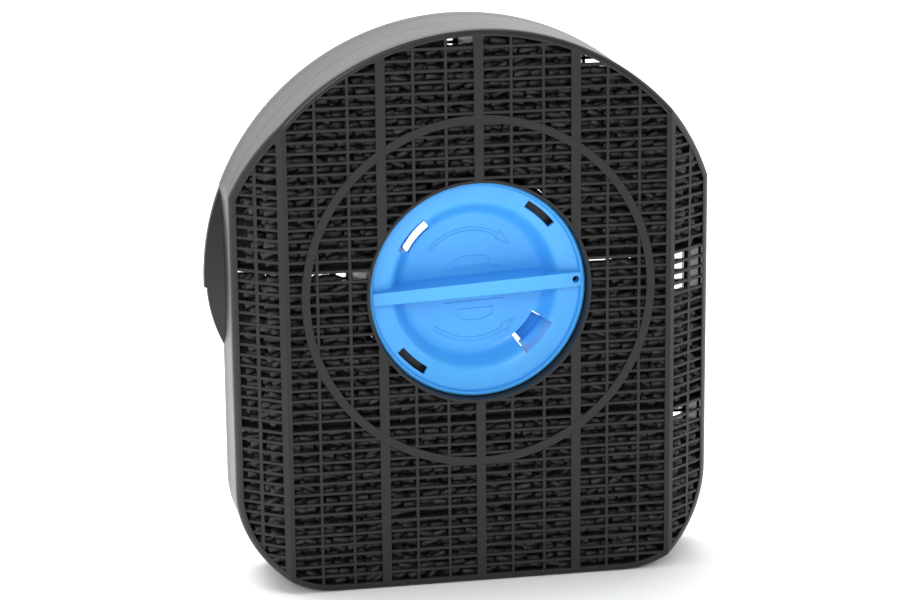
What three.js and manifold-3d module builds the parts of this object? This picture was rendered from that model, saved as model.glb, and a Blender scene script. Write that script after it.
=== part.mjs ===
// A carbon filter cassette for a cooker hood: a D-shaped black plastic case full of charcoal pellets,
// with a lattice in its front and in its back, and a blue quarter-turn knob in a well through its middle.
//
// Millimetres. X is to the right as seen from the front, Y goes from the front to the back, and Z is up.
// The case stands on its flat bottom edge, and the origin is on that surface, under the case's middle.
// Every shape below is drawn about the knob's axis: x and z are measured from the axis, and depth is
// measured back from the front lattice. One group at the end puts them all in place.

import * as THREE from "three";
import { mergeVertices } from "three/addons/utils/BufferGeometryUtils.js";
import Module from "manifold-3d";

const wasm = await Module();
wasm.setup();

// --- Driving dimensions ---

const GAP = 0.3; // between pieces that touch

// The case, seen from the front: a round top, straight sides and a flat bottom.
const TOP_R = 109.4;
const SIDE_CUT = 8.1; // how far the flat sides cut into the round top
const BOTTOM_DROP = 16; // how much lower the flat bottom is than the round top's circle
const CORNER_R = 40;
const DEPTH = 48;
const SKIN = 1.8;

// The front cover: its side strips lean back from a fold.
const SIDE_SET_BACK = 16; // depth of the front's left and right edges
const LIP = 5.8; // band round the front that stands proud of the skirt
const LIP_PROUD = 0.4;
const SKIRT = 2.2; // skirt seen behind the lip, at the sides
const RIM = 2.9; // solid frame round the lattice

// The lattices. The rear one has its ribs level with the front one's.
const RIB_PITCH = 4.5;
const RIB_W = 1.2;
const BAR_PITCH = 40.5;
const BAR_W = 4.1;
const LATTICE_T = 2.2;
const RING_R = 72.4; // middle of the round rib
const RING_W = 3.5;

// The rear shell.
const TONGUE_T = 1.2; // lip of the rear shell inside the cover's skirt
const TONGUE_L = 3;
const BACK_T = 2; // lip round the back, which holds the rear grille in
const BACK_RIM = 3.6; // band round the back edge, level with the cover's lip
const FLANGE_OUT = 7.8; // how far its upper half stands out from the flat sides
const FLANGE_RISE = 8; // depth over which the flange spreads from the sides
const FLANGE_EDGE = 1.5;
const FLANGE_STEP = 1.1; // the lower half is this much narrower
const FLANGE_STEP_AT = -2.6; // height of the step between the halves
const FLANGE_LOW_R = 62; // the lower half is rounder, about centres nearer to the sides
const OUTLET_LAP = 0.9; // the back's lip laps the rear grille by this much
const GRILLE_RIM = 1.2; // the grille's own rim, at its edge and round the well
const DIVIDER_T = 1.2;
const DIVIDER_ROWS = [14, 29]; // ribs with a shelf behind them, counted from the bottom

// The well and the knob in it.
const WELL_R = 46;
const WELL_T = 1.2;
const LEDGE_R = 38.5; // hole in the ledge that the knob turns on
const LEDGE_DEPTH = 14.5;
const LEDGE_T = 1.5;
const KNOB_FIT = 0.5; // between the knob's rim and the well
const KNOB_DEPTH = 5.5; // the rim is this far behind the front lattice
const RIM_T = 1.5;
const PLATE_T = 2; // thickness of the knob's band and floor
const BAND_DROP = 3; // from the rim to the band's outer edge
const BAND_FALL = 2.4; // the band falls this much towards the dish
const DISH_R = 33.5; // dish at its mouth
const FLOOR_R = 29.5;
const FLOOR_DEPTH = 20;
const SHOULDER = 2.5; // depth of the dish's sloping shoulder
const SHOULDER_IN = 1; // how far the shoulder comes in
const SOCKET_R = 30.7; // hollow back of the knob, which goes over the hood's spigot
const SOCKET_T = 1.8;
const SOCKET_FLARE = 2; // fillet between the socket and the band
const SOCKET_END = 40;
const HANDLE_W = 5.6;
const HANDLE_TILT = 2.8; // degrees, right end up
const HOLE_R = 1.5; // index hole in the handle
const HOLE_AT = 41.8;
const HOOK_AT = 139; // degrees, and again half a turn on
const HOOK_SPAN = 20;
const HOOK_LAP = 2; // how far a hook reaches behind the ledge
const HOOK_T = 2;
const HOOK_SLOT_SPAN = 23;
const HOOK_SLOT_W = 7.1; // the slot's width across the dish's mouth
const HOOK_SLOT_OUT = 3; // part of that width outside the mouth
const SIGHT_AT = 48; // outer slots, a quarter turn from the hooks
const SIGHT_SPAN = 19;
const SIGHT_R0 = 38.9;
const SIGHT_R1 = 42.2;
const LUG_SPAN = 24; // bayonet lugs inside the socket
const LUG_T = 2.5;
const LUG_L = 3;
const TURN = 90; // degrees from free to locked, clockwise
const STOP_SPAN = 8;
const STOP_PLAY = 1; // degrees left between a hook and its stop

// The charcoal, which has settled: it falls away from the shelf above it towards the back.
const SETTLED_FRONT = 2;
const SETTLED_BACK = 14;
const SETTLED_MORE = 14; // the right-hand column has sunk this much more
const SETTLED_TOP = 5; // below the round top

// --- Sizes that follow from them ---

const HALF_W = TOP_R - SIDE_CUT;
const BOTTOM = TOP_R + BOTTOM_DROP;
const FOLD_X = 2 * BAR_PITCH;
const LEAN = SIDE_SET_BACK / (HALF_W - FOLD_X);
const SEAM = SIDE_SET_BACK + LIP + SKIRT;
const FLANGE_R = HALF_W + FLANGE_OUT; // about the knob's axis
const INSIDE = LIP_PROUD + SKIN; // inset of the inner wall from the outline
const TONGUE_IN = INSIDE + GAP + TONGUE_T;
const BED_INSET = TONGUE_IN + GAP;
const BEHIND_LATTICE = LATTICE_T + GAP;
const GRILLE_END = DEPTH - BACK_T - GAP;
const GRILLE_START = GRILLE_END - LATTICE_T;
const BED_END = GRILLE_START - GAP;
const GRILLE_IN = INSIDE + GAP; // inset of the rear grille's edge
const WELL_OUT = WELL_R + WELL_T;
const KNOB_R = WELL_R - KNOB_FIT;
const FAR = 2 * BOTTOM; // longer than anything here
const FIRST_RIB = -BOTTOM + RIM + RIB_PITCH - RIB_W / 2;
const BARS = [-2, -1, 0, 1, 2].map((i) => i * BAR_PITCH);
const ARC_STEPS = 8; // facets in each arc of the outline
const TOP_ARCS = 3; // the round top is drawn as this many arcs
const ROUND_STEPS = 40; // facets round the well, the knob and the ring
const SECTOR_STEPS = 6;
const HOLE_STEPS = 16;
const PAST = 1; // how far a cutting solid runs past what it cuts

const ACROSS = new THREE.Vector3(1, 0, 0);
const DEPTH_AXIS = new THREE.Vector3(0, 1, 0);
const UP = new THREE.Vector3(0, 0, 1);

const ribHeight = (row) => FIRST_RIB + row * RIB_PITCH;

// --- Making and joining solids ---

// A closed three.js geometry as a solid that can be cut and joined.
function solid(geometry) {
  geometry.deleteAttribute("normal");
  geometry.deleteAttribute("uv");
  const merged = mergeVertices(geometry);
  const vertProperties = merged.attributes.position.array;
  const triVerts = new Uint32Array(merged.index.array);
  return new wasm.Manifold(new wasm.Mesh({ numProp: 3, vertProperties, triVerts }));
}

const joined = (solids) => solids.reduce((all, next) => all.add(next));

// A box between two corners, given as its range in x, depth and z.
function box([x0, x1], [d0, d1], [z0, z1]) {
  const geometry = new THREE.BoxGeometry(x1 - x0, d1 - d0, z1 - z0);
  geometry.translate((x0 + x1) / 2, (d0 + d1) / 2, (z0 + z1) / 2);
  return solid(geometry);
}

// An outline drawn in x and z, pushed from one depth to another.
function slab(shape, d0, d1, curveSegments) {
  const geometry = new THREE.ExtrudeGeometry(shape, { depth: d1 - d0, bevelEnabled: false, curveSegments });
  geometry.rotateX(Math.PI / 2);
  geometry.translate(0, d1, 0);
  return solid(geometry);
}

// A closed profile of [radius, depth] corners, spun about the knob's axis.
function spun(profile, steps = ROUND_STEPS) {
  const points = profile.map(([r, d]) => new THREE.Vector2(r, d));
  return solid(new THREE.LatheGeometry([...points, points[0]], steps));
}

const disc = (r, d0, d1, steps) => spun([[0, d0], [r, d0], [r, d1], [0, d1]], steps);
const tube = (r0, r1, d0, d1) => spun([[r0, d0], [r1, d0], [r1, d1], [r0, d1]]);

// A piece of a ring, centred on an angle in degrees, anticlockwise from the right.
function sector(r0, r1, at, span, d0, d1) {
  const from = THREE.MathUtils.degToRad(at - span / 2);
  const to = THREE.MathUtils.degToRad(at + span / 2);
  const shape = new THREE.Shape();
  shape.absarc(0, 0, r1, from, to, false);
  shape.absarc(0, 0, r0, to, from, true);
  return slab(shape, d0, d1, SECTOR_STEPS);
}

// --- The outline of the case and the folded front ---

// The case's outline, drawn in by an inset, between two depths.
function outline(inset, d0, d1) {
  const r = TOP_R - inset;
  const w = HALF_W - inset;
  const b = BOTTOM - inset;
  const c = CORNER_R - inset;
  const meet = Math.acos(w / r); // angle at which the round top meets a side
  const arc = (Math.PI - 2 * meet) / TOP_ARCS;
  const shape = new THREE.Shape();
  shape.absarc(w - c, c - b, c, -Math.PI / 2, 0, false);
  for (let i = 0; i < TOP_ARCS; i += 1) {
    shape.absarc(0, 0, r, meet + i * arc, meet + (i + 1) * arc, false);
  }
  shape.absarc(c - w, c - b, c, Math.PI, 1.5 * Math.PI, false);
  return slab(shape, d0, d1, ARC_STEPS);
}

// Everything behind the front surface, or behind that surface moved back by an offset.
function behindFront(offset) {
  const side = offset + LEAN * (FAR - FOLD_X);
  const corners = [[-FAR, side], [-FOLD_X, offset], [FOLD_X, offset], [FAR, side], [FAR, FAR], [-FAR, FAR]];
  const plan = new THREE.Shape(corners.map(([x, d]) => new THREE.Vector2(x, d)));
  const geometry = new THREE.ExtrudeGeometry(plan, { depth: 2 * FAR, bevelEnabled: false });
  geometry.translate(0, 0, -FAR);
  return solid(geometry);
}

const widePlates = (halfWidth, d0, d1) =>
  BARS.map((x) => box([x - halfWidth, x + halfWidth], [d0, d1], [-FAR, FAR]));

// What a lattice keeps when its windows are cut: the wide upright bars, and the ribs across.
function grid() {
  const bars = widePlates(BAR_W / 2, -FAR, FAR);
  for (let z = FIRST_RIB; z < TOP_R - RIM - RIB_PITCH / 2; z += RIB_PITCH) {
    bars.push(box([-FAR, FAR], [-FAR, FAR], [z - RIB_W / 2, z + RIB_W / 2]));
  }
  return joined(bars);
}

// --- The pieces ---

// The cover: lattice with a ring and a bezel, rim, lip and skirt.
function frontCover() {
  const lip = outline(0, -PAST, SEAM).subtract(behindFront(LIP));
  const skirt = outline(LIP_PROUD, -PAST, SEAM);
  const hollow = outline(INSIDE, -PAST, DEPTH).intersect(behindFront(LATTICE_T));
  const ring = tube(RING_R - RING_W / 2, RING_R + RING_W / 2, -FAR, FAR);
  const middle = disc(WELL_R + WELL_T / 2, -FAR, FAR);
  const windows = outline(RIM, -PAST, DEPTH).subtract(joined([grid(), ring, middle]));
  return lip
    .add(skirt)
    .intersect(behindFront(0))
    .subtract(hollow)
    .subtract(windows)
    .add(tube(WELL_R, WELL_OUT, 0, LATTICE_T))
    .subtract(disc(WELL_R, -PAST, DEPTH));
}

// The well: a tube from the bezel to the back, with the ledge that the knob turns on,
// and on the ledge the stops for the knob's hooks.
function knobWell() {
  const far = LEDGE_DEPTH + LEDGE_T;
  const reach = HOOK_SPAN / 2 + STOP_PLAY + STOP_SPAN / 2;
  const stops = [];
  for (const hook of [HOOK_AT, HOOK_AT + 180]) {
    for (const at of [hook + reach, hook - TURN - reach]) {
      stops.push(sector(LEDGE_R, WELL_OUT, at, STOP_SPAN, LEDGE_DEPTH, far + GAP + HOOK_T));
    }
  }
  const wall = tube(WELL_R, WELL_OUT, BEHIND_LATTICE, DEPTH);
  return joined([wall, tube(LEDGE_R, WELL_OUT, LEDGE_DEPTH, far), ...stops]);
}

// The rear shell: wall with a lip round the back, flange, and a tongue inside the cover's skirt.
function rearShell() {
  const seam = SEAM + GAP;
  const wall = outline(LIP_PROUD, seam, DEPTH);
  const backRim = outline(0, DEPTH - BACK_RIM, DEPTH);
  const cavity = outline(INSIDE, seam - PAST, DEPTH - BACK_T);
  const outlet = outline(GRILLE_IN + OUTLET_LAP, 0, DEPTH + PAST);
  const shell = joined([wall, backRim, flange()]).subtract(cavity).subtract(outlet);
  const tongue = outline(INSIDE + GAP, SEAM - TONGUE_L, seam + TONGUE_L)
    .add(outline(LIP_PROUD, seam, seam + TONGUE_L))
    .subtract(outline(TONGUE_IN, 0, DEPTH));
  return shell.add(tongue);
}

// The flange that spreads from the sides: two rounds on each side, with a locating step between them.
function flange() {
  const root = HALF_W - SKIN;
  const section = (r) => [
    [root, DEPTH - FLANGE_RISE],
    [HALF_W, DEPTH - FLANGE_RISE],
    [r - FLANGE_EDGE, DEPTH - BACK_RIM],
    [r, DEPTH - BACK_RIM + FLANGE_EDGE],
    [r, DEPTH],
    [root, DEPTH],
  ];
  const lowR = FLANGE_R - FLANGE_STEP;
  const centre = lowR - FLANGE_LOW_R;
  const low = spun(section(lowR).map(([r, d]) => [r - centre, d]));
  const upper = box([-FAR, FAR], [0, FAR], [FLANGE_STEP_AT, FAR]);
  return joined([
    spun(section(FLANGE_R)).intersect(upper),
    low.translate([centre, 0, 0]),
    low.translate([-centre, 0, 0]),
  ]);
}

// The inner frame that parts the charcoal: upright walls behind the wide bars, shelves behind two of the
// ribs, and a hoop round them that follows the case's wall.
function innerFrame() {
  const shelves = DIVIDER_ROWS.map(ribHeight).map((z) =>
    box([-FAR, FAR], [0, BED_END], [z - DIVIDER_T / 2, z + DIVIDER_T / 2]),
  );
  const hoop = outline(BED_INSET, 0, BED_END).subtract(outline(BED_INSET + DIVIDER_T, -PAST, DEPTH));
  return joined([...widePlates(DIVIDER_T / 2, 0, BED_END), ...shelves, hoop])
    .intersect(outline(BED_INSET, 0, DEPTH))
    .intersect(behindFront(BEHIND_LATTICE))
    .subtract(disc(WELL_OUT + GAP, -PAST, DEPTH));
}

// The rear grille, which the back's lip holds in.
function rearGrille() {
  const around = disc(WELL_OUT + GAP + GRILLE_RIM, 0, DEPTH);
  const windows = outline(GRILLE_IN + GRILLE_RIM, 0, DEPTH).subtract(joined([grid(), around]));
  return outline(GRILLE_IN, GRILLE_START, GRILLE_END)
    .subtract(windows)
    .subtract(disc(WELL_OUT + GAP, 0, DEPTH));
}

// The knob: a dish with a band and rim round it, a handle across it, and a hollow socket behind.
function twistKnob() {
  const bandTop = KNOB_DEPTH + BAND_DROP;
  const mouth = bandTop + BAND_FALL;
  const inRim = KNOB_R - RIM_T;
  const socketOut = SOCKET_R + SOCKET_T;
  const rimEnd = LEDGE_DEPTH - GAP;
  const body = spun([
    [0, FLOOR_DEPTH],
    [FLOOR_R, FLOOR_DEPTH],
    [DISH_R - SHOULDER_IN, mouth + SHOULDER],
    [DISH_R, mouth],
    [inRim, bandTop],
    [inRim, KNOB_DEPTH],
    [KNOB_R, KNOB_DEPTH],
    [KNOB_R, rimEnd],
    [inRim, rimEnd],
    [inRim, bandTop + PLATE_T],
    [socketOut + SOCKET_FLARE, mouth + PLATE_T],
    [socketOut, mouth + PLATE_T + SOCKET_FLARE],
    [socketOut, SOCKET_END],
    [SOCKET_R, SOCKET_END],
    [SOCKET_R, FLOOR_DEPTH + PLATE_T],
    [0, FLOOR_DEPTH + PLATE_T],
  ]);
  const hookStart = LEDGE_DEPTH + LEDGE_T + GAP;
  const hookEnd = hookStart + HOOK_T;
  const bothSides = [HOOK_AT, HOOK_AT + 180];
  const hooks = bothSides.map((at) =>
    sector(SOCKET_R + SOCKET_T / 2, LEDGE_R + HOOK_LAP, at, HOOK_SPAN, hookStart, hookEnd),
  );
  const lugs = bothSides.map((at) =>
    sector(SOCKET_R - LUG_T, SOCKET_R + SOCKET_T / 2, at, LUG_SPAN, SOCKET_END - LUG_L, SOCKET_END),
  );
  const slotOut = DISH_R + HOOK_SLOT_OUT;
  const hookSlots = bothSides.map((at) =>
    sector(slotOut - HOOK_SLOT_W, slotOut, at, HOOK_SLOT_SPAN, 0, hookStart - GAP),
  );
  const sights = [SIGHT_AT, SIGHT_AT + 180].map((at) =>
    sector(SIGHT_R0, SIGHT_R1, at, SIGHT_SPAN, 0, LEDGE_DEPTH - GAP),
  );
  const handle = box([-inRim, inRim], [KNOB_DEPTH, FLOOR_DEPTH + PLATE_T / 2], [-HANDLE_W / 2, HANDLE_W / 2])
    .intersect(disc(KNOB_R - RIM_T / 2, 0, DEPTH))
    .subtract(tube(DISH_R, KNOB_R, mouth + PLATE_T / 2, DEPTH));
  const hole = disc(HOLE_R, 0, DEPTH, HOLE_STEPS).translate([HOLE_AT, 0, 0]);
  const tilted = (solidAlongX) => solidAlongX.rotate([0, -HANDLE_TILT, 0]);
  return joined([body.subtract(joined([...hookSlots, ...sights])), tilted(handle), ...hooks, ...lugs])
    .subtract(tilted(hole));
}

// Everything under a surface that falls from one height at the front of the charcoal to another at its back.
function underSlope(front, back) {
  const fall = (back - front) / (BED_END - BEHIND_LATTICE);
  const height = (depth) => front + fall * (depth - BEHIND_LATTICE);
  const corners = [[0, -FAR], [DEPTH, -FAR], [DEPTH, height(DEPTH)], [0, height(0)]];
  const shape = new THREE.Shape(corners.map(([d, z]) => new THREE.Vector2(d, z)));
  const geometry = new THREE.ExtrudeGeometry(shape, { depth: 2 * FAR, bevelEnabled: false });
  geometry.translate(0, 0, -FAR);
  geometry.applyMatrix4(new THREE.Matrix4().makeBasis(DEPTH_AXIS, UP, ACROSS));
  return solid(geometry);
}

// The charcoal of one compartment: between two uprights and two shelves, clear of the well.
function carbonBed([x0, x1], [z0, z1], more) {
  const round = outline(BED_INSET + DIVIDER_T + GAP, 0, DEPTH);
  return box([x0, x1], [0, BED_END], [z0, z1])
    .intersect(round)
    .intersect(round.translate([0, 0, -SETTLED_TOP]).add(box([-FAR, FAR], [0, DEPTH], [-FAR, 0])))
    .intersect(underSlope(z1 - SETTLED_FRONT - more, z1 - SETTLED_BACK - more))
    .intersect(behindFront(BEHIND_LATTICE))
    .subtract(disc(WELL_OUT + GAP, -PAST, DEPTH));
}

// --- Materials ---

const finish = (color, roughness) => new THREE.MeshStandardMaterial({ color, roughness, metalness: 0 });
const BLACK_PLASTIC = finish(0x2c2c2e, 0.35);
const BLUE_PLASTIC = finish(0x4da9ee, 0.4);
const CHARCOAL = finish(0x2a2724, 0.85);

// --- Assembly ---

const cassette = new THREE.Group();
cassette.position.set(0, -DEPTH / 2, BOTTOM);

function place(name, body, material) {
  const { vertProperties, triVerts } = body.getMesh();
  const geometry = new THREE.BufferGeometry();
  geometry.setAttribute("position", new THREE.BufferAttribute(vertProperties, 3));
  geometry.setIndex(new THREE.BufferAttribute(triVerts, 1));
  geometry.computeVertexNormals();
  const piece = new THREE.Mesh(geometry, material);
  piece.name = name;
  cassette.add(piece);
}

place("front_cover", frontCover(), BLACK_PLASTIC);
place("knob_well", knobWell(), BLACK_PLASTIC);
place("rear_shell", rearShell(), BLACK_PLASTIC);
place("rear_grille", rearGrille(), BLACK_PLASTIC);
place("inner_frame", innerFrame(), BLACK_PLASTIC);
place("twist_knob", twistKnob(), BLUE_PLASTIC);

// Six columns between the uprights and the sides, in three tiers between the shelves.
const walls = [-FAR, ...BARS, FAR];
const shelves = [-FAR, ...DIVIDER_ROWS.map(ribHeight), FAR];
const clear = DIVIDER_T / 2 + GAP;
const TIERS = ["bottom", "middle", "top"];
const COLUMNS = ["far_left", "left", "inner_left", "inner_right", "right", "far_right"];
TIERS.forEach((tier, t) => {
  COLUMNS.forEach((column, c) => {
    const across = [walls[c] + clear, walls[c + 1] - clear];
    const up = [shelves[t] + clear, shelves[t + 1] - clear];
    const more = column === "far_right" ? SETTLED_MORE : 0;
    place(`carbon_${tier}_${column}`, carbonBed(across, up, more), CHARCOAL);
  });
});

const part = new THREE.Group();
part.add(cassette);

export default part;
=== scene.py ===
# %% [markdown]
# # A carbon filter cassette with a turn knob
#
# The real object is a flat, D-shaped case of black moulded plastic, full of charcoal pellets. Air passes
# through a fine lattice in its front and another in its back. A blue knob sits in a well through the
# middle, and a quarter turn locks the cassette on a cooker hood.
#
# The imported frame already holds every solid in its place. This lesson builds the pieces that the eye sees
# round that frame, with their rounded edges, thin uprights and loose pellets.

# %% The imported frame
from math import acos, cos, degrees, atan2, hypot, pi, radians, sin, sqrt
from random import Random

import bmesh
import bpy
from mathutils import Euler, Matrix, Quaternion, Vector


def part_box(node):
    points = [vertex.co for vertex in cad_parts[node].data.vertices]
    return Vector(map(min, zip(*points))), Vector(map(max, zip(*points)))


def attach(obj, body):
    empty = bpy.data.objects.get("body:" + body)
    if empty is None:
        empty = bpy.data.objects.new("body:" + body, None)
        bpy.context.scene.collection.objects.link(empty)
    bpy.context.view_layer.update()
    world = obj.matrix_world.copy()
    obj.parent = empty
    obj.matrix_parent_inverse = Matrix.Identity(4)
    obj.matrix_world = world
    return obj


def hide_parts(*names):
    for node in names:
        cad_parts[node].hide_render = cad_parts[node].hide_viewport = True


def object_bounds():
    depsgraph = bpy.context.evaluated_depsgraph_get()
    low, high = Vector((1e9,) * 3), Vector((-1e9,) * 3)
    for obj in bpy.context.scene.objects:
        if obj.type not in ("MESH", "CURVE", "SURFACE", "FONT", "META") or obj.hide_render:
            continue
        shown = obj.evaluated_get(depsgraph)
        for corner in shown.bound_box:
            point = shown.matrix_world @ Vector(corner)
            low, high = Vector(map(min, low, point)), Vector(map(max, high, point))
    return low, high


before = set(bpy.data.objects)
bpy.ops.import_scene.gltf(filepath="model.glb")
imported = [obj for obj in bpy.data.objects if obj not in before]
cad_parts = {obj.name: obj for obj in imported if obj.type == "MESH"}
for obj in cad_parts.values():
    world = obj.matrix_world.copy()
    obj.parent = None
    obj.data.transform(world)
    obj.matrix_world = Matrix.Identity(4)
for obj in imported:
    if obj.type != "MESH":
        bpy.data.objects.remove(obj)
cad_low, cad_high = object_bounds()
print("the frame's box in metres:", [round(c, 4) for c in (*cad_low, *cad_high)])

# %% [markdown]
# ## One drawing for the whole object
#
# A round thing is easiest to draw about its own axis. So every shape below is drawn in millimetres about
# the knob's axis: x to the right, y for the depth behind the front lattice, and z up. One matrix then
# scales a finished mesh to metres and puts it in its place in the frame, and its object stays at the
# origin.

# %% The matrix that places a drawing
well_low, well_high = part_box("knob_well")
hub = Vector(((well_low.x + well_high.x) / 2, cad_low.y, (well_low.z + well_high.z) / 2))
PLACE = Matrix.Translation(hub) @ Matrix.Scale(0.001, 4)
DEPTH = (cad_high.y - cad_low.y) * 1000
print("the knob's axis is", round(hub.z * 1000, 1), "mm up, and the case is", round(DEPTH, 1), "mm deep")

# %% [markdown]
# ## Camera
#
# A long lens from a little to the left and a little above shows the front, the left side and the top of
# the case together. The camera leans by half a degree, so it is turned about its own line of sight last.

# %% Camera
camera = bpy.data.objects.new("camera", bpy.data.cameras.new("camera"))
bpy.context.scene.collection.objects.link(camera)
bpy.context.scene.camera = camera
camera.data.lens = 117.23
camera.data.clip_start = 0.05
camera.location = (-0.2319, -1.17074, 0.41829)
sight = Vector((0.181996, 0.952248, -0.245156))
lean = Quaternion((0, 0, 1), radians(-0.564))
camera.rotation_mode = "QUATERNION"
camera.rotation_quaternion = sight.to_track_quat("-Z", "Y") @ lean
print("the camera looks down by", round(degrees(-sight.z), 1), "degrees")

# %% [markdown]
# ## Shader maths as plain expressions
#
# A material is a graph of nodes. Wrapping a socket in a small class lets Python's own operators add the
# Math nodes, so a formula on the page reads as a formula, and one method adds any other node.

# %% Sockets with operators
class Shade:
    def __init__(self, tree, socket):
        self.tree, self.socket = tree, socket

    def node(self, kind, inputs=None, output=0, **settings):
        made = self.tree.nodes.new(kind)
        for key, value in settings.items():
            if key == "stops":
                ramp = made.color_ramp
                for place, colour in value[2:]:
                    ramp.elements.new(place)
                for element, (place, colour) in zip(ramp.elements, sorted(value)):
                    element.position, element.color = place, (*colour, 1)
            else:
                setattr(made, key, value)
        for key, value in (inputs or {}).items():
            if isinstance(value, Shade):
                self.tree.links.new(value.socket, made.inputs[key])
            else:
                made.inputs[key].default_value = value
        return Shade(self.tree, made.outputs[output])

    def maths(self, operation, a, b=0.0, clamp=False):
        return self.node("ShaderNodeMath", {0: a, 1: b}, operation=operation, use_clamp=clamp)

    def __add__(self, other):
        return self.maths("ADD", self, other)

    def __mul__(self, other):
        return self.maths("MULTIPLY", self, other)

    def __sub__(self, other):
        return self.maths("SUBTRACT", self, other)

    def __rsub__(self, other):
        return self.maths("SUBTRACT", other, self)

    def clamped(self):
        return self.maths("ADD", self, 0.0, clamp=True)

    def noise(self, scale, detail=3.0, rough=0.5):
        inputs = {"Vector": self, "Scale": scale, "Detail": detail, "Roughness": rough}
        return self.node("ShaderNodeTexNoise", inputs)

    def mixed(self, a, b):
        """The first colour where this is 0, and the second where it is 1."""
        return self.node("ShaderNodeMix", {0: self, 6: a, 7: b}, output=2, data_type="RGBA")

    __radd__ = __add__
    __rmul__ = __mul__


# %% A new material and its shader
def new_material(name, **constants):
    """A material with its object coordinates, and its principled shader with the constants set on it."""
    made = bpy.data.materials.new(name)
    made.use_nodes = True
    tree = made.node_tree
    shader = tree.nodes["Principled BSDF"]
    for key, value in constants.items():
        shader.inputs[key.replace("_", " ")].default_value = value
    start = Shade(tree, None)
    coordinates = start.node("ShaderNodeTexCoord", output=3)
    return made, shader, coordinates


def feed(shader, **links):
    for key, value in links.items():
        value.tree.links.new(value.socket, shader.inputs[key.replace("_", " ")])


def bumped(height, strength, distance):
    inputs = {"Height": height, "Strength": strength, "Distance": distance}
    return height.node("ShaderNodeBump", inputs)


# %% [markdown]
# ## Light
#
# Black plastic shows its shape by what it mirrors, so the surroundings matter more than the lamps. They
# are bright behind, where the glossy side wall mirrors them, and dimmer in front, so that the lattice
# stays dark. One wide lamp hangs over the floor, one at the front on the left lights the knob, and a weak
# one fills in from the right.

# %% Lamps, surroundings and floor
bpy.context.scene.view_settings.view_transform = "Standard"
world = bpy.data.worlds.new("surroundings")
bpy.context.scene.world = world
world.use_nodes = True
backdrop = world.node_tree.nodes["Background"]
backdrop.inputs["Color"].default_value = (0.97, 0.98, 1, 1)
way = Shade(world.node_tree, None).node("ShaderNodeTexCoord", output=0)
back_share = way.node("ShaderNodeSeparateXYZ", {0: way}, output=1)
brightness = (back_share * 0.5 + 0.5).clamped() * 1.5 + 0.30
world.node_tree.links.new(brightness.socket, backdrop.inputs["Strength"])


def lamp(name, place, aim, size, power):
    made = bpy.data.objects.new(name, bpy.data.lights.new(name, "AREA"))
    bpy.context.scene.collection.objects.link(made)
    made.data.shape = "DISK"
    made.data.size = size
    made.data.energy = power
    made.location = place
    made.rotation_mode = "QUATERNION"
    made.rotation_quaternion = (Vector(aim) - Vector(place)).to_track_quat("-Z", "Y")
    print(name, "gives", power, "W from", size, "m across")


lamp("lamp_above", (-0.3, 0.6, 1.8), (-0.1, 0.4, 0), 1.6, 44)
lamp("lamp_front", (-0.7, -1.9, 1.0), (0, 0, 0.13), 1.0, 19)
lamp("lamp_right", (1.5, -0.7, 0.9), (0, 0, 0.13), 0.9, 4)

# %% [markdown]
# ## Black moulded plastic
#
# The mould leaves a faint grain of about half a millimetre on the lattice. Handling leaves broad,
# slightly shinier patches, and pale dust settles where a face looks up. The dust is held back to a few
# hundredths, because a new cassette is nearly clean. The glossy walls also carry fine lines that run
# round the case, from the way the mould was polished, so their noise is stretched to change quickly with
# depth only.

# %% Black plastic, satin and glossy
def black_plastic(name, tint, shine, shine_change, grain, streaks=0.0):
    made, shader, at = new_material(name, IOR=1.48)
    shader.inputs["Specular IOR Level"].default_value = 0.38
    patches = at.noise(22, 4)
    fine = at.noise(1500, 2)
    normal = at.node("ShaderNodeNewGeometry", output=1)
    up = at.node("ShaderNodeSeparateXYZ", {0: normal}, output=2)
    dust = (up.clamped() * at.noise(260, 5, 0.7) * patches * 0.12).clamped()
    base = patches.mixed((*[part * 0.8 for part in tint], 1), (*tint, 1))
    dusty = dust.mixed(base, (0.30, 0.29, 0.27, 1))
    roughness = patches * shine_change + fine * 0.06 + (shine - 0.03) + dust * 0.5
    along = at.node("ShaderNodeMapping", {0: at, 3: (25, 900, 25)}, output=0)
    lines = along.noise(1, 3, 0.6)
    relief = fine + at.noise(300, 3) * 0.5 + lines * streaks
    roughness = roughness + lines * (streaks * 0.02)
    feed(shader, Base_Color=dusty, Roughness=roughness, Normal=bumped(relief, grain, 0.0002))
    return made


SATIN_BLACK = black_plastic("black plastic, satin", (0.011, 0.011, 0.0113), 0.42, 0.14, 0.25)
GLOSS_BLACK = black_plastic("black plastic, glossy", (0.010, 0.010, 0.0105), 0.27, 0.12, 0.05, streaks=2.5)
DARK_BLACK = black_plastic("black plastic, inside", (0.010, 0.010, 0.0105), 0.30, 0.12, 0.25)
print("three black finishes")

# %% [markdown]
# ## Blue moulded plastic
#
# The knob is a clear sky blue with a soft shine. Where the melt flowed round the dish the blue is a shade
# deeper, so slow noise moves the colour a little. Fine scuffs only change
# the shine.

# %% Blue plastic
def blue_plastic():
    made, shader, at = new_material("blue plastic, satin", IOR=1.46)
    flow = at.noise(38, 3)
    cloud = at.noise(120, 5, 0.6)
    fine = at.noise(2200, 2)
    scuffs = at.node("ShaderNodeTexNoise", {"Vector": at, "Scale": 420, "Detail": 4.0, "Distortion": 2.5})
    worn = scuffs.maths("GREATER_THAN", scuffs, 0.66) * 0.12
    shade = (flow * 0.7 + cloud * 0.3).clamped()
    stops = [(0.25, (0.056, 0.350, 0.76)), (0.75, (0.074, 0.400, 0.86))]
    colour = at.node("ShaderNodeValToRGB", {0: shade}, stops=stops)
    roughness = cloud * 0.10 + fine * 0.05 + worn + 0.30
    feed(shader, Base_Color=colour, Roughness=roughness, Normal=bumped(fine + cloud * 0.6, 0.08, 0.0002))
    return made


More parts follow.
